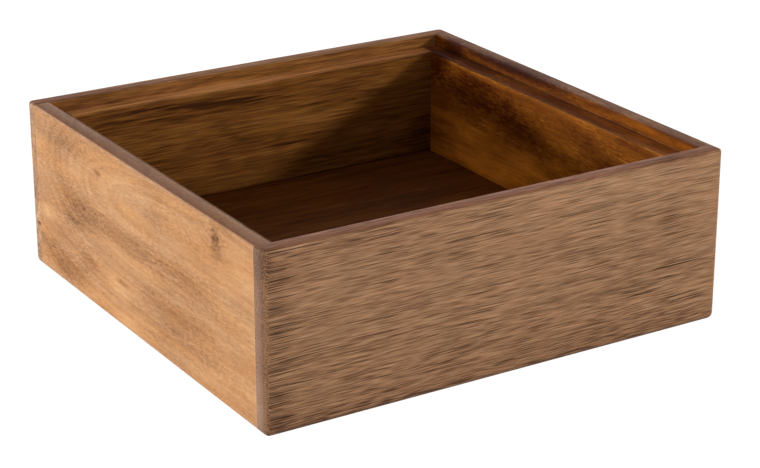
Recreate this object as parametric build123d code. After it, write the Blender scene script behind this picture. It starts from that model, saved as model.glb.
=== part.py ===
"""Low square box of solid oiled acacia that stacks on others of its kind.

Four boards stand round a floor panel. The front and back boards run the full width
and lap over the ends of the side boards. Every board has a rabbet along the inside of
its top edge, so that a thin rim stands round a recessed ledge, and another along the
inside of its bottom edge. A plinth board sits in the bottom rabbet and stands proud of
it, a little smaller than the recess in the rim, so that one box nests on the next.

Millimetres. X runs along the front board, Y to the back, Z up. The origin is on the
ground under the middle of the box.
"""
import os

from build123d import *

# Overall size of the frame of boards
box_width = 180.0
box_depth = 176.0
wall_height = 63.0

# Boards and the rabbets along their edges
board_thickness = 12.5
rim_thickness = 6.1
rim_rabbet_depth = 4.6
housing_depth = 4.5

# Corner joints: the front and back boards lap over the side boards' ends with a tongue as
# thick as the rim, so that each joint closes in a corner of the recess
lap_tongue = rim_thickness

# Base: the floor panel lies on the plinth, between the boards
floor_thickness = 12.5
plinth_proud = 2.2
nesting_clearance = 0.3

# Edges that are rounded by hand after the glue has set
corner_radius = 2.0
foot_radius = 2.5
rim_easing = 1.0
recess_easing = 0.5
ledge_easing = 0.6
plinth_corner_radius = 1.0
plinth_easing = 0.6

# Levels and clear sizes that follow from the sizes above
rim_level = plinth_proud + wall_height
ledge_level = rim_level - rim_rabbet_depth
plinth_top = plinth_proud + housing_depth
cavity_width = box_width - 2 * board_thickness
cavity_depth = box_depth - 2 * board_thickness
recess_width = box_width - 2 * rim_thickness
recess_depth = box_depth - 2 * rim_thickness
plinth_width = recess_width - 2 * nesting_clearance
plinth_depth = recess_depth - 2 * nesting_clearance

STANDING = (Align.CENTER, Align.CENTER, Align.MIN)


def block(width, depth, bottom, top):
    """A plain block centred over the origin, from one level to another."""
    return Pos(0, 0, bottom) * Box(width, depth, top - bottom, align=STANDING)


def flat_edges_at(solid, level, inside_width):
    """The straight level edges of a solid at one height, within a given width."""
    level_edges = [e for e in solid.edges() if abs(e.bounding_box().min.Z - level) < 1e-4
                   and abs(e.bounding_box().max.Z - level) < 1e-4]
    return [e for e in level_edges if max(abs(e.bounding_box().min.X), abs(e.bounding_box().max.X))
            <= inside_width / 2 + 1e-4]


def outer_block():
    """The frame's outside, with soft upright corners, a rounded foot and an eased rim."""
    outside = block(box_width, box_depth, plinth_proud, rim_level)
    outside = fillet(outside.edges().filter_by(Axis.Z), corner_radius)
    outside = fillet(outside.faces().sort_by(Axis.Z)[0].edges(), foot_radius)
    return fillet(outside.faces().sort_by(Axis.Z)[-1].edges(), rim_easing)


def eased_frame():
    """The four boards as they are once glued: hollow, rabbeted top and bottom, and eased."""
    frame = outer_block()
    frame -= block(cavity_width, cavity_depth, plinth_proud, rim_level)
    frame -= block(recess_width, recess_depth, ledge_level, rim_level)
    frame -= block(recess_width, recess_depth, plinth_proud, plinth_top)
    frame = fillet(flat_edges_at(frame, rim_level, recess_width), recess_easing)
    return fillet(flat_edges_at(frame, ledge_level, cavity_width), ledge_easing)


def side_place(side):
    """The room that a side board takes: up to the lap tongues at the front and back."""
    middle = side * (box_width - board_thickness) / 2
    return Pos(middle, 0, 0) * block(board_thickness, box_depth - 2 * lap_tongue, plinth_proud, rim_level)


def end_place(end):
    """The room that the front or back board takes: full width, less the side boards' ends."""
    middle = end * (box_depth - board_thickness) / 2
    across = Pos(0, middle, 0) * block(box_width, board_thickness, plinth_proud, rim_level)
    return across - side_place(-1) - side_place(1)


def floor_board():
    """The panel that closes the box, glued edge to edge between the boards."""
    return block(cavity_width, cavity_depth, plinth_top, plinth_top + floor_thickness)


def plinth_board():
    """The board in the bottom rabbet, which the box stands on and nests with."""
    plinth = block(plinth_width, plinth_depth, 0, plinth_top)
    plinth = fillet(plinth.edges().filter_by(Axis.Z), plinth_corner_radius)
    return fillet(plinth.faces().sort_by(Axis.Z)[0].edges(), plinth_easing)


frame = eased_frame()
pieces = {
    "front_board": frame & end_place(-1),
    "back_board": frame & end_place(1),
    "left_board": frame & side_place(-1),
    "right_board": frame & side_place(1),
    "floor_panel": floor_board(),
    "plinth": plinth_board(),
}

os.makedirs("parts", exist_ok=True)
for name, piece in pieces.items():
    piece.label = name
    export_step(piece, f"parts/{name}.step")
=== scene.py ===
"""Looks of the stacking box: oiled acacia boards under soft studio light.

The box stands at the origin on a pale floor. Lengths are in millimetres and angles in
degrees unless a comment says otherwise, and METRE turns lengths into Blender's metres.
"""
import math

import bpy
import numpy as np
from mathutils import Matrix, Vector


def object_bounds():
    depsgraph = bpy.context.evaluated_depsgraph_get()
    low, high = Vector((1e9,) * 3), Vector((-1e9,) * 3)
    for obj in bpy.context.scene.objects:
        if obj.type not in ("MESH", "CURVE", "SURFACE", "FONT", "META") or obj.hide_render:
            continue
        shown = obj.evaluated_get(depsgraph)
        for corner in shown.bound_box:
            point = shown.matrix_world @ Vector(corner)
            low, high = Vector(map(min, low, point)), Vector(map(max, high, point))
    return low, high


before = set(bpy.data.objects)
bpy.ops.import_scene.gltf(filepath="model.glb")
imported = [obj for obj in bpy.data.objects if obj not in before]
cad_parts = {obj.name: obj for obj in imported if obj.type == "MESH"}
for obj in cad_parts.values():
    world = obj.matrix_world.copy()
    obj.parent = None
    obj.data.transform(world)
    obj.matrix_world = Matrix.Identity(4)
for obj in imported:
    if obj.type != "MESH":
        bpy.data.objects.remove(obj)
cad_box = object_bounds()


# Camera. A long lens a little above the box and left of it, as a product is shot. The
# picture is 760 by 468 pixels, and the lens is the one that gives the box its size in it.
METRE = 0.001
camera_place = (-390.9, -638.2, 314.2)
camera_pan = 31.91
camera_tilt = 21.22
picture_width_pixels = 760
focal_length_pixels = 2234
sensor_width = 36.0
nearest_seen = 10.0
farthest_seen = 50000.0

lens = bpy.data.cameras.new("product_lens")
lens.sensor_width = sensor_width
lens.lens = sensor_width * focal_length_pixels / picture_width_pixels
lens.clip_start = nearest_seen * METRE
lens.clip_end = farthest_seen * METRE
camera = bpy.data.objects.new("product_camera", lens)
camera.location = [v * METRE for v in camera_place]
camera.rotation_euler = [math.radians(90 - camera_tilt), 0, math.radians(-camera_pan)]
bpy.context.collection.objects.link(camera)
bpy.context.scene.camera = camera
bpy.context.scene.view_settings.view_transform = "Standard"


# Studio floor. A wide sheet of pale paper. The eye and reflections see it as white, less the
# soft shadow of the box, and it sends plain paper's light back up at the boards.
def linear(colour):
    """Turns an sRGB hex colour such as '#c89a6a' into linear red, green, blue and alpha."""
    parts = np.array([int(colour[k:k + 2], 16) for k in (1, 3, 5)]) / 255
    low = parts <= 0.04045
    return (*np.where(low, parts / 12.92, ((parts + 0.055) / 1.055) ** 2.4), 1.0)


def add(tree, kind, inputs=None, **settings):
    """Adds a shader node with these inputs and settings.

    An input takes a plain value, a socket, or a node's first output. Inputs that share a name
    go by number: in MapRange 1 and 2 are the range read and 3 and 4 the range given back, and
    in Mix 4 and 5 are two vectors, mixed in output 1.
    """
    made = tree.nodes.new("ShaderNode" + kind)
    for name, value in settings.items():
        setattr(made, name, value)
    for key, value in (inputs or {}).items():
        if isinstance(value, bpy.types.Node):
            value = value.outputs[0]
        if isinstance(value, bpy.types.NodeSocket):
            tree.links.new(value, made.inputs[key])
        else:
            made.inputs[key].default_value = value
    return made


def bare_material(name):
    """A new material with an empty node tree and its output node."""
    material = bpy.data.materials.new(name)
    material.use_nodes = True
    material.node_tree.nodes.clear()
    return material, material.node_tree, add(material.node_tree, "OutputMaterial")


def looked_at(tree):
    """1 where the camera or a reflection looks, and 0 where light is gathered."""
    rays = add(tree, "LightPath")
    return add(tree, "Math", {0: rays.outputs["Is Camera Ray"], 1: rays.outputs["Is Glossy Ray"]},
               operation="MAXIMUM")


floor_size = 6000.0
paper_colour = "#e6e3df"
# The share of plain paper in what the eye sees, which carries the shadow, and the glow of
# the rest, just enough for the sheet to reach white
shadow_share = 0.12
white_level = 1.14

sweep, tree, output = bare_material("pale_seamless_paper")
white_share = add(tree, "Math", {0: looked_at(tree), 1: 1 - shadow_share}, operation="MULTIPLY")
paper = add(tree, "BsdfDiffuse", {"Color": linear(paper_colour)})
white = add(tree, "Emission", {"Strength": white_level})
sheet = add(tree, "MixShader", {0: white_share, 1: paper, 2: white})
tree.links.new(sheet.outputs[0], output.inputs[0])

half = floor_size / 2 * METRE
corners = [(-half, -half, 0), (half, -half, 0), (half, half, 0), (-half, half, 0)]
floor_mesh = bpy.data.meshes.new("studio_floor")
floor_mesh.from_pydata(corners, [], [(0, 1, 2, 3)])
floor_mesh.materials.append(sweep)
studio_floor = bpy.data.objects.new("studio_floor", floor_mesh)
bpy.context.collection.objects.link(studio_floor)


# Studio sky. The pale walls and ceiling of the studio: dim and even as light, and white where
# the eye or a reflection meets them.
sky_light = 0.30
sky_white = 1.0

sky = bpy.data.worlds.new("studio_sky")
bpy.context.scene.world = sky
sky.use_nodes = True
tree = sky.node_tree
tree.nodes.clear()
strength = add(tree, "MapRange", {0: looked_at(tree), 3: sky_light, 4: sky_white})
glow = add(tree, "Background", {"Color": (1, 1, 1, 1), "Strength": strength})
add(tree, "OutputWorld", {0: glow})


# Studio lamps. Low strips stand round the box and light its outer faces, and one lamp, right
# of the front and a little higher, slants the right wall's shadow across the back wall.
lamps = {
    # name: (bearing to the right of the front, elevation, distance, width, height,
    #        level of its middle above the floor, light on a face turned to it)
    "key_lamp": (28.0, 13.1, 3000, 190, 190, 40, 0.42),
    "front_strip": (-4.0, 1.0, 900, 900, 140, 62, 0.42),
    "left_strip": (-110.0, 3.0, 2000, 1600, 320, 62, 0.87),
    "right_strip": (95.0, 6.0, 1500, 900, 300, 62, 0.40),
    "back_strip": (195.0, 6.0, 1500, 900, 300, 62, 0.50),
}
for name, (bearing, elevation, distance, width, height, level, light) in lamps.items():
    lamp = bpy.data.lights.new(name, "AREA")
    lamp.shape = "RECTANGLE"
    lamp.size = width * METRE
    lamp.size_y = height * METRE
    # An area lamp of P watts gives P / (pi * d * d) at distance d in front of it, and
    # a white face lit by pi watts to the square metre renders as 1.
    lamp.energy = light * math.pi * math.pi * (distance * METRE) ** 2
    holder = bpy.data.objects.new(name, lamp)
    turn = math.radians(bearing)
    rise = math.radians(elevation)
    outward = (math.sin(turn) * math.cos(rise), -math.cos(turn) * math.cos(rise), math.sin(rise))
    holder.location = np.array(outward) * distance * METRE + np.array([0, 0, level * METRE])
    holder.rotation_euler = [math.pi / 2 - rise, 0, turn]
    holder.visible_camera = False
    bpy.context.collection.objects.link(holder)


# Front board. Solid acacia, planed, sanded and oiled: thin dark pores lie close together on a
# mid-brown ground with a satin surface. It is glued over the ends of the side boards, so its
# own end grain shows as a strip at each corner.
half_width, half_depth, rim_level = (round(v / METRE, 1) for v in cad_box[1])
# Height of the painted shade along the front board's foot
foot_shade_level = 2.2
rim_thickness = 6.1

# Sizes of patterns in the wood, along the grain, across it and up
bend_size = (60, 25, 14)
cloud_size = (30, 4, 4)
pore_group_size = (24, 5, 5)

# The stretch of each noise that is read, as noise keeps near the middle of 0 to 1
ring_low, ring_high = 0.25, 0.75
streak_low, streak_high = 0.32, 0.68
cloud_low, cloud_high = 0.35, 0.65
group_low, group_high = 0.3, 0.7


def stretched(tree, texture, place, shift, size, detail):
    """A texture with waves or cells of this size, moved on by as many of them as shift says.

    The shifts differ, so that no two patterns fall in step.
    """
    spot = add(tree, "Mapping", {0: place, "Location": shift, "Scale": [1 / s for s in size]})
    return add(tree, texture, {"Vector": spot, "Scale": 1.0, "Detail": detail})


def bent_grain(tree, board, seed, bend, knots):
    """Where a place in the board lies in straight grain, and the noise that bends the grain.

    A slow noise from -0.5 to 0.5, times twice the bend, moves it across and up. A knot at
    (along, height, radius) then shrinks height above it by r^2 / (r^2 + radius^2), where r is
    the way to the knot's middle, counted shorter along the grain, so that fibres part round it.
    """
    knot_reach = (0.6, 0, 1)
    drift = stretched(tree, "TexNoise", board, (seed, 0, 0), bend_size, 1.0)
    wander = add(tree, "VectorMath", {0: drift.outputs["Color"], 1: (0.5, 0.5, 0.5)},
                 operation="SUBTRACT")
    grain = add(tree, "VectorMath", {0: wander, 1: (0, 2 * bend, 2 * bend), 2: board},
                operation="MULTIPLY_ADD")
    for along, level, radius in knots:
        away = add(tree, "VectorMath", {0: grain, 1: (along, 0, level)}, operation="SUBTRACT")
        reach = add(tree, "VectorMath", {0: away, 1: knot_reach}, operation="MULTIPLY")
        square = add(tree, "VectorMath", {0: reach, 1: reach}, operation="DOT_PRODUCT")
        spread = add(tree, "Math", {0: square.outputs["Value"], 1: radius ** 2}, operation="ADD")
        push = add(tree, "Math", {0: -radius ** 2, 1: spread}, operation="DIVIDE")
        lift = add(tree, "VectorMath", {0: away, 1: (0, 0, 1)}, operation="MULTIPLY")
        lift = add(tree, "VectorMath", {0: lift, 3: push}, operation="SCALE")
        grain = add(tree, "VectorMath", {0: grain, 1: lift}, operation="ADD")
    return grain, wander


def growth_rings(tree, grain, seed, width, share, heart, rise, fall=0.0, run=50.0):
    """Tone of the growth rings, up to share each way from 0.5.

    It is a one-way noise of the way to the tree's heart line, counted in ring widths. The line
    goes through (across, height) = heart at the board's middle and rises by rise for each mm
    along. At the low end of along it lies further across by fall, which shrinks e times in
    each run along.
    """
    length = add(tree, "SeparateXYZ", {0: grain})
    falling = add(tree, "Math", {0: length, 1: -1 / run, 2: -half_depth / run},
                  operation="MULTIPLY_ADD")
    falling = add(tree, "Math", {0: falling}, operation="EXPONENT")
    across = add(tree, "Math", {0: falling, 1: fall, 2: heart[0]}, operation="MULTIPLY_ADD")
    height = add(tree, "Math", {0: length, 1: rise, 2: heart[1]}, operation="MULTIPLY_ADD")
    line = add(tree, "CombineXYZ", {0: length, 1: across, 2: height})
    reach = add(tree, "VectorMath", {0: grain, 1: line}, operation="DISTANCE").outputs["Value"]
    age = add(tree, "Math", {0: reach, 1: 1 / width, 2: seed}, operation="MULTIPLY_ADD")
    years = add(tree, "TexNoise", {"W": age, "Scale": 1.0, "Detail": 2.0}, noise_dimensions="1D")
    return add(tree, "MapRange", {0: years, 1: ring_low, 2: ring_high,
                                  3: 0.5 - share, 4: 0.5 + share})


def marked(tree, tone, board, wander, fibres, strength, marks):
    """Adds soft spots to a tone, each (along, height, half length, half height, change).

    A spot's change, times strength, holds out to whole and falls in an S-curve to nothing at
    gone, both counted in half sizes from its middle. The grain's bends and, times fray, the
    finest fibres push that count about, which gives the spot the strands of the wood.
    """
    fray = 0.8
    whole = 0.55
    gone = 1.4
    for along, level, half_long, half_high, change in marks:
        per_half = (1 / half_long, 0, 1 / half_high)
        away = add(tree, "VectorMath", {0: board, 1: (along, 0, level)}, operation="SUBTRACT")
        away = add(tree, "VectorMath", {0: away, 1: per_half, 2: wander}, operation="MULTIPLY_ADD")
        away = add(tree, "VectorMath", {0: away}, operation="LENGTH").outputs["Value"]
        away = add(tree, "Math", {0: fibres, 1: fray, 2: away}, operation="MULTIPLY_ADD")
        spot = add(tree, "MapRange", {0: away, 1: whole, 2: gone, 3: change, 4: 0.0},
                   interpolation_type="SMOOTHSTEP")
        tone = add(tree, "Math", {0: spot, 1: strength, 2: tone}, operation="MULTIPLY_ADD")
    return tone


def against(colour, ground):
    """How many times the ground's red, green and blue a colour has, both sRGB hex."""
    return tuple(np.array(linear(colour)) / np.array(linear(ground)))[:3]


def tinted(tree, colour, share, tint):
    """A colour multiplied by a tint, as far as share, from 0 to 1, lets it."""
    part = add(tree, "Mix", {0: share, 4: (1, 1, 1), 5: tint}, data_type="VECTOR")
    return add(tree, "VectorMath", {0: colour, 1: part.outputs[1]}, operation="MULTIPLY")


def face_tones_and_painted_light(tree, colour, ground, normal, height, inward, faces):
    """Tints faces and arrises, partly with tones of their own and partly with painted light. End
    grain keeps its own tone; darker inner sides paint the shade inside the box, a dark ledge and
    the dark foot of a rabbet's wall paint the shade in those recesses, rim tints partly paint
    the oil's sheen, and paler arrises are painted highlights.

    A face is (direction, (lowest, highest) level, middle colour at the box's outside, middle
    colour a rim's width further in), and an arris is one with a slanting direction. The tint
    comes in as the cosine to that direction goes from the lower to the upper value of its
    kind, and ends within a blur of its levels.
    """
    flat_turn = (0.8, 0.95)
    arris_turn = (0.74, 0.84)
    blur = 0.2
    for direction, (low, high), outer, inner in faces:
        nearly, fully = arris_turn if max(map(abs, direction)) < 1 else flat_turn
        facing = add(tree, "VectorMath", {0: normal, 1: direction}, operation="DOT_PRODUCT")
        facing = add(tree, "MapRange", {0: facing.outputs["Value"], 1: nearly, 2: fully})
        above = add(tree, "MapRange", {0: height, 1: low - blur, 2: low + blur})
        below = add(tree, "MapRange", {0: height, 1: high - blur, 2: high + blur, 3: 1.0, 4: 0.0})
        share = add(tree, "Math", {0: facing, 1: above}, operation="MULTIPLY")
        share = add(tree, "Math", {0: share, 1: below}, operation="MULTIPLY")
        tint = add(tree, "Mix", {0: inward, 4: against(outer, ground), 5: against(inner, ground)},
                   data_type="VECTOR")
        colour = tinted(tree, colour, share, tint.outputs[1])
    return colour


def open_vessels(tree, grain, seed, hairs, pores):
    """How dark a place is as part of a vessel that the plane cut open lengthwise, 0 to 1.

    Hairs are where a noise drawn out along the grain crosses its middle. A pore is the middle
    of a cell drawn out along the grain, out to fill of the cell's size, and chance gives its
    darkness. A slow noise gathers them in groups: there pores fill up to swing more and hairs
    are whole, and in between pores fill up to swing less and hairs fade to faintest. Real
    vessels are about 0.2 mm wide and 10 mm long, too fine for the picture, which has some 2.5
    pixels to the mm: these are drawn up to twice as wide and three times as long.
    """
    swing = 0.05
    faintest = 0.5
    groups = stretched(tree, "TexNoise", grain, (seed, 40, 0), pore_group_size, 1.0)
    groups = add(tree, "MapRange", {0: groups, 1: group_low, 2: group_high, 3: swing, 4: -swing})
    long_way, spacing, wide, depth = hairs
    size = (long_way, spacing, spacing)
    hair = stretched(tree, "TexNoise", grain, (seed, 3, long_way), size, 1.0)
    hair = add(tree, "Math", {0: hair, 1: 0.5}, operation="SUBTRACT")
    hair = add(tree, "Math", {0: hair}, operation="ABSOLUTE")
    hair = add(tree, "MapRange", {0: hair, 1: 0.0, 2: wide / spacing / 2, 3: depth, 4: 0.0})
    share = add(tree, "MapRange", {0: groups, 1: swing, 2: -swing, 3: faintest, 4: 1.0})
    vessels = add(tree, "Math", {0: hair, 1: share}, operation="MULTIPLY")
    for long_way, wide, fill, depth in pores:
        size = (long_way, wide, wide)
        cells = stretched(tree, "TexVoronoi", grain, (seed, 7, long_way), size, 0.0)
        pore = add(tree, "Math", {0: cells.outputs["Distance"], 1: groups}, operation="ADD")
        pore = add(tree, "MapRange", {0: pore, 1: fill / 2, 2: fill, 3: depth, 4: 0.0})
        chance = add(tree, "SeparateXYZ", {0: cells.outputs["Color"]})
        pore = add(tree, "Math", {0: pore, 1: chance}, operation="MULTIPLY")
        vessels = add(tree, "Math", {0: pore, 1: vessels}, operation="MAXIMUM")
    return vessels


def acacia(name, turn, seed, tones, cast, streaks, hairs, pores, rings, bend, faces=(),
           outside=0.0, marks=(), marked_inside=False, knots=()):
    """Oiled acacia cut as one board, patterned through its whole thickness.

    A place in the board is (along the grain, across, height).
    turn: how far the grain is turned from X, so that 0 runs to the right and -90 to the front.
    seed: how far into the noises the board is cut.
    tones: the wood's dark, middle and pale colours.
    cast: the middle colour that slow clouds drift to.
    streaks: (length, width, share of the tone) of each kind of soft streak, finest first.
    hairs: (length, spacing, width, depth) of the faint lines between the pores.
    pores: (length, width, fill, depth) of each kind of pore.
    rings: what growth_rings takes. faces, marks and knots: as in the functions above.
    bend: how far the grain wanders.
    outside: how far from the box's middle the board's outer face lies.
    marked_inside: whether the marks fade out towards that face.
    """
    material, tree, output = bare_material(name)
    place = add(tree, "TexCoord")
    per_metre = (1 / METRE,) * 3
    turned = (0, 0, math.radians(-turn))
    board = add(tree, "Mapping", {0: place.outputs["Object"], "Scale": per_metre,
                                  "Rotation": turned})
    normal = add(tree, "Mapping", {0: place.outputs["Normal"], "Rotation": turned},
                 vector_type="VECTOR")

    # How far in from the outer face a place lies, 1 being a rim's width
    apart = add(tree, "SeparateXYZ", {0: board})
    across = add(tree, "Math", {0: apart.outputs["Y"]}, operation="ABSOLUTE")
    inward = add(tree, "MapRange", {0: across, 1: outside - rim_thickness, 2: outside,
                                    3: 1.0, 4: 0.0})

    # Growth rings, streaks from the finest fibres to broad ones, and marks
    grain, wander = bent_grain(tree, board, seed, bend, knots)
    tone = growth_rings(tree, grain, seed, **rings)
    fibres = None
    for long_way, wide, share in streaks:
        size = (long_way, wide, wide)
        streak = stretched(tree, "TexNoise", grain, (seed, long_way, 0), size, 2.0)
        fibres = fibres or streak
        part = add(tree, "MapRange", {0: streak, 1: streak_low, 2: streak_high,
                                      3: -share, 4: share})
        tone = add(tree, "Math", {0: tone, 1: part}, operation="ADD")
    strength = inward if marked_inside else 1.0
    tone = marked(tree, tone, board, wander, fibres, strength, marks)
    ramp = add(tree, "ValToRGB", {0: tone})
    stops = ramp.color_ramp.elements
    stops.new(0.5)
    for stop, position, wood in zip(stops, (0.0, 0.5, 1.0), tones):
        stop.position = position
        stop.color = linear(wood)

    # Clouds of another hue in the heartwood, and face tints, partly the wood's own tone and partly
    # painted light
    ground = tones[1]
    clouds = stretched(tree, "TexNoise", grain, (seed, 20, 3), cloud_size, 2.0)
    clouds = add(tree, "MapRange", {0: clouds, 1: cloud_low, 2: cloud_high})
    colour = tinted(tree, ramp, clouds, against(cast, ground))
    colour = face_tones_and_painted_light(tree, colour, ground, normal, apart.outputs["Z"], inward, faces)

    # Open pores darken the wood, less so where the face turns endways and shows their ends
    barely_endways, fully_endways = 0.1, 0.6
    end_share = 0.15
    endways = add(tree, "SeparateXYZ", {0: normal})
    endways = add(tree, "Math", {0: endways}, operation="ABSOLUTE")
    lengthwise = add(tree, "MapRange", {0: endways, 1: barely_endways, 2: fully_endways,
                                        3: 1.0, 4: end_share})
    pitted = open_vessels(tree, grain, seed, hairs, pores)
    pitted = add(tree, "Math", {0: pitted, 1: lengthwise}, operation="MULTIPLY")
    shade = add(tree, "Math", {0: 1.0, 1: pitted}, operation="SUBTRACT")
    colour = add(tree, "VectorMath", {0: colour, 3: shade}, operation="SCALE")

    # Thin oil that has sunk in: a faint satin sheen over fine fibres, duller in the open pores
    oiled_roughness, pore_roughness = 0.52, 0.75
    oil_ior, oil_sheen = 1.45, 0.05
    pore_sink = 1.2
    relief_depth, relief_strength = 0.12, 0.25
    rough = add(tree, "MapRange", {0: pitted, 3: oiled_roughness, 4: pore_roughness})
    relief = add(tree, "Math", {0: pitted, 1: -pore_sink, 2: fibres}, operation="MULTIPLY_ADD")
    bump = add(tree, "Bump", {"Height": relief, "Distance": relief_depth * METRE,
                              "Strength": relief_strength})
    surface = add(tree, "BsdfPrincipled", {"Base Color": colour, "Roughness": rough, "Normal": bump,
                                           "IOR": oil_ior, "Specular IOR Level": oil_sheen})
    tree.links.new(surface.outputs[0], output.inputs[0])
    return material


def finish(node, material):
    """Gives a CAD piece its material in every slot."""
    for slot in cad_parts[node].material_slots:
        slot.material = material


# Bands of height, the parts of a slanting direction, and a length past any board's edges
all_levels = (0, 70)
rim_levels = (63, 70)
slant = 0.707
whole_way = 400

front_faces = (
    # Right end grain, left end grain, rim partly painted sheen, its inner arris a pale painted
    #     # highlight, inner side darkened as painted shade
    ((1, 0, 0), all_levels, "#7f5e4a", "#7f5e4a"),
    ((-1, 0, 0), all_levels, "#7c5c4a", "#9a7660"),
    ((0, 0, 1), rim_levels, "#9f6345", "#bc8a73"),
    ((0, slant, slant), rim_levels, "#c09078", "#c09078"),
    ((0, 1, 0), all_levels, "#744726", "#744726"),
)
front_marks = (
    # Paler towards the top right, and darker low on the left and at the left end, with a pale
    #     # painted highlight low on the left corner; the dark band at the foot is painted shade
    #     where
    #     # the box meets the floor
    (60, 58, 90, 16, 0.10), (-40, 9, 200, 22, -0.10), (-86, 30, 8, whole_way, -0.12),
    (-90, 60, 4, 14, -0.2), (-90, 8, 0.8, 18, 0.3), (75, rim_level, 30, 1.5, -0.15),
    (0, 3, whole_way, 3, -0.2), (0, foot_shade_level, whole_way, 1.1, -0.45),
    # Broad stretches of darker and paler wood
    (-65, 61.5, 36, 5, -0.1), (-75, 6, 34, 6, -0.12), (60, 7, 48, 8, -0.14),
    (44, 53, 14, 3, -0.09), (52, 62, 44, 4, 0.06), (84, 36, 18, 22, 0.06),
    (14, 34, 32, 12, 0.04),
)
finish("front_board", acacia(
    "oiled_acacia_front", turn=0, seed=3.0,
    tones=("#4f3426", "#926b4e", "#ae8868"), cast="#8d694c",
    streaks=((8, 0.32, 0.29), (24, 0.9, 0.01), (60, 8, 0.02)), hairs=(45, 1.4, 0.2, 0.3),
    pores=((14, 0.36, 0.42, 0.8), (40, 0.55, 0.32, 1.0), (70, 0.9, 0.22, 1.0)),
    rings=dict(width=1.6, share=0.02, heart=(-160, 20), rise=0.01), bend=0.8,
    faces=front_faces, outside=half_depth, marks=front_marks))


# Back board. The twin of the front board, glued over the other ends of the side boards. It
# comes from a darker plank of acacia, and long dark streaks cross its inner side.
ledge_levels = (59, 63)
ledge_arris_levels = (59, 62)
rabbet_levels = (60.2, 70)
wall_levels = (0, 60)
floor_top = 19.2

back_faces = (
    # Right end grain, left end grain, rim partly painted sheen, ledge, its arris, rabbet's wall,
    #     # inner side darkened as painted shade
    ((1, 0, 0), all_levels, "#7f5e4a", "#7f5e4a"),
    ((-1, 0, 0), all_levels, "#ac8369", "#ac8369"),
    ((0, 0, 1), rim_levels, "#b8846a", "#926046"),
    ((0, 0, 1), ledge_levels, "#c8834f", "#c8834f"),
    ((0, -slant, slant), ledge_arris_levels, "#8e5c34", "#8e5c34"),
    ((0, -1, 0), rabbet_levels, "#88562c", "#88562c"),
    ((0, -1, 0), wall_levels, "#7d4b1f", "#7d4b1f"),
)
back_marks = (
    # Thin dark streaks that run down to the right below the ledge, and lower ones
    (-48, 57.8, 20, 1.0, -0.45), (-30, 56.5, 20, 0.9, -0.6), (-16, 55.2, 22, 1.4, -0.7),
    (-4, 54.0, 18, 0.9, -0.5), (8, 53.0, 14, 0.7, -0.35), (-62, 55, 12, 0.9, -0.35),
    (18, 48, 16, 1.1, -0.45), (-36, 42, 16, 1.0, -0.35), (-5, 40.5, 14, 0.8, -0.4),
    (12, 34, 14, 1.0, -0.4),
    # Pale and dark clouds, and the shade where the board meets the floor panel
    (-14, 59.5, 38, 2.2, 0.35), (-30, 47.6, 20, 2.5, 0.22), (24, 40, 34, 7, 0.24),
    (-38, 32, 18, 2.5, -0.28), (-8, 23, 30, 6, 0.4), (73, 27, 9, 12, -0.35),
    (0, floor_top, whole_way, 1.1, -0.9),
)
finish("back_board", acacia(
    "oiled_acacia_back", turn=0, seed=17.0,
    tones=("#543620", "#926845", "#b88e64"), cast="#8e663c",
    streaks=((10, 0.45, 0.20), (34, 1.0, 0.17), (80, 10, 0.12)), hairs=(40, 1.6, 0.22, 0.5),
    pores=((14, 0.5, 0.38, 0.6), (40, 0.8, 0.32, 0.7)),
    rings=dict(width=2.6, share=0.14, heart=(140, 60), rise=0.02), bend=1.6,
    faces=back_faces, outside=half_depth, marks=back_marks, marked_inside=True))


# Left board. Solid acacia between the front and back boards, glued into their laps. It is cut
# close to the heart of the tree, so its rings run out as long arches past a small knot.
joint = half_depth - rim_thickness

left_faces = (
    # Rim partly painted sheen, its outer arris, ledge, inner side darkened as painted shade
    ((0, 0, 1), rim_levels, "#94603f", "#bd8f6f"),
    ((0, -slant, slant), rim_levels, "#b8865c", "#b8865c"),
    ((0, 0, 1), ledge_levels, "#8a6448", "#8a6448"),
    ((0, 1, 0), all_levels, "#80502a", "#80502a"),
)
left_marks = (
    # The knot, the dark wood under it, and a fleck further back
    (57, 59.5, 3.2, 3.4, -0.18), (57, 57.5, 5.5, 8, -0.2), (61, 61, 3, 1.4, -0.1),
    (57, 58, 10, 9, -0.08), (-29.5, 55, 4, 1.4, -0.35),
    # Clouds of darker and paler wood
    (-55, 59, 16, 8, -0.15), (-66, 54, 14, 12, -0.1), (-8, 37.5, 54, 6, -0.25),
    (-48, 40, 26, 9, -0.18), (33, 35, 34, 5, -0.12), (5, 30.5, 40, 3, 0.12),
    (30, 21, 38, 8, -0.18), (22, 8, 26, 6, -0.12), (-60, 20, 24, 12, -0.12),
    (-60, 9, 24, 8, -0.32), (-55, 34, 18, 7, -0.13), (-38, 35, 18, 6, -0.08),
    (78, 54, 16, 14, 0.15), (8, 60, 20, 5, -0.1), (-19, 17, 14, 6, 0.2),
    (-12, 7, 14, 5, 0.16), (-13, 19.7, 7, 1.6, -0.3), (-36, 19, 6, 1.6, -0.25),
    (26, 16, 9, 0.8, -0.2), (-74, 27, 10, 5, 0.2), (17, 53, 24, 6, -0.12),
    (-70, 45.5, 22, 5, -0.12), (-50, 30, 18, 4, -0.18), (-79, 14, 12, 4, -0.15),
    (-43, 17, 11, 8, -0.16), (36, 14, 60, 4, -0.14), (24, 30, 18, 3, -0.14),
    (62, 45.5, 16, 5, 0.14),
    # The joints, where sanding bared a pale line
    (joint, 30, 0.6, whole_way, 0.12), (-joint, 30, 0.6, whole_way, 0.12),
)
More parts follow.
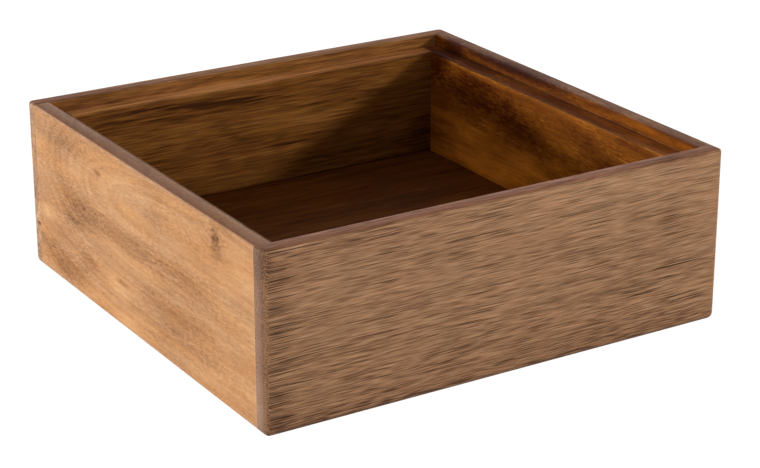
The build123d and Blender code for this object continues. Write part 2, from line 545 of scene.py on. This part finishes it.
finish("left_board", acacia(
    "oiled_acacia_left", turn=-90, seed=29.0,
    tones=("#70482c", "#bb8758", "#e2b27c"), cast="#b88a62",
    streaks=((2.2, 0.35, 0.11), (14, 1.0, 0.03), (24, 6, 0.05), (70, 12, 0.08)),
    hairs=(8, 1.5, 0.22, 0.12), pores=((5, 0.6, 0.24, 0.3),),
    rings=dict(width=1.8, share=0.065, heart=(-90, 51.7), rise=0.03, fall=38, run=45), bend=2.0,
    faces=left_faces, outside=half_width, knots=((57, 59.5, 4.5),), marks=left_marks))


# Right board. The left board's twin, glued into the other laps. It comes from a plank with
# clouds of ruddy brown and amber, and shows its inner side most.
rabbet_foot_shade_levels = (60.2, 61)
rabbet_wall_levels = (61, 70)

right_faces = (
    # Rim partly painted sheen, its inner arris, ledge darkened as painted shade, its arris, foot
    #     # of the rabbet's wall darkened as painted shade in the corner, its wall, inner side
    ((0, 0, 1), rim_levels, "#946f5e", "#875a42"),
    ((0, -slant, slant), rim_levels, "#784828", "#784828"),
    ((0, 0, 1), ledge_levels, "#783f18", "#783f18"),
    ((0, -slant, slant), ledge_arris_levels, "#6a3e14", "#6a3e14"),
    ((0, -1, 0), rabbet_foot_shade_levels, "#3c1e08", "#3c1e08"),
    ((0, -1, 0), rabbet_wall_levels, "#6b3606", "#6b3606"),
    ((0, -1, 0), wall_levels, "#9c5819", "#9c5819"),
)
right_marks = (
    # Dark and amber clouds on the inner side
    (-40, 50, 44, 8, -0.42), (-22, 44, 36, 8, -0.3), (0, 57, 150, 5, -0.06),
    (22, 57.5, 40, 3.5, 0.18), (-72, 58, 12, 12, -0.6), (-58, 35, 34, 7, 0.24),
    (-40, 22, 20, 5, 0.14), (-25, 25, 60, 13, 0.36), (36, 50, 24, 8, -0.28),
    (-12, 52.5, 18, 4, -0.17), (2, 34, 16, 5, -0.14), (56, 58.4, 34, 1.8, -0.2),
    # Rabbet's wall and ledge, darker to the back and paler to the front
    (-26, 64.2, 56, 3, -0.5), (65, 63.5, 30, 2.5, 0.3), (-50, 60.6, 28, 1.2, -0.3),
    (62, 60.8, 36, 0.9, 0.22),
)
finish("right_board", acacia(
    "oiled_acacia_right", turn=-90, seed=41.0,
    tones=("#502a18", "#94683f", "#f0b678"), cast="#966a3a",
    streaks=((3, 0.5, 0.11), (20, 1.2, 0.08), (26, 9, 0.14)),
    hairs=(20, 3.0, 0.3, 0.15), pores=((6, 0.6, 0.26, 0.4),),
    rings=dict(width=3.0, share=0.14, heart=(130, 30), rise=0.02), bend=2.5,
    faces=right_faces, outside=half_width, marks=right_marks, marked_inside=True))


# Floor panel. Brown acacia, glued edge to edge between the four boards. Its figure is plain:
# # soft streaks and few pores on a dark ground, whose darkness is partly painted shade for the
# # bottom of the box.
plain_figure = dict(
    streaks=((8, 0.6, 0.16), (30, 2.5, 0.2), (60, 14, 0.16)),
    hairs=(20, 2.4, 0.3, 0.2), pores=((9, 0.7, 0.3, 0.4),), bend=2.0)
finish("floor_panel", acacia(
    "oiled_acacia_floor", turn=0, seed=53.0,
    tones=("#3c1c08", "#592b0c", "#744016"), cast="#5a3010",
    rings=dict(width=3.0, share=0.16, heart=(20, -60), rise=0.0), **plain_figure))


# Plinth. The board that the box stands on, of the same plain brown acacia, glued into the
# # rabbet round the bottom. Its colours are darkened as painted shade, as it shows only in the
# # shade under the box.
finish("plinth", acacia(
    "oiled_acacia_plinth", turn=0, seed=67.0,
    tones=("#302018", "#483020", "#604430"), cast="#443020",
    rings=dict(width=3.0, share=0.16, heart=(40, -60), rise=0.0), **plain_figure))
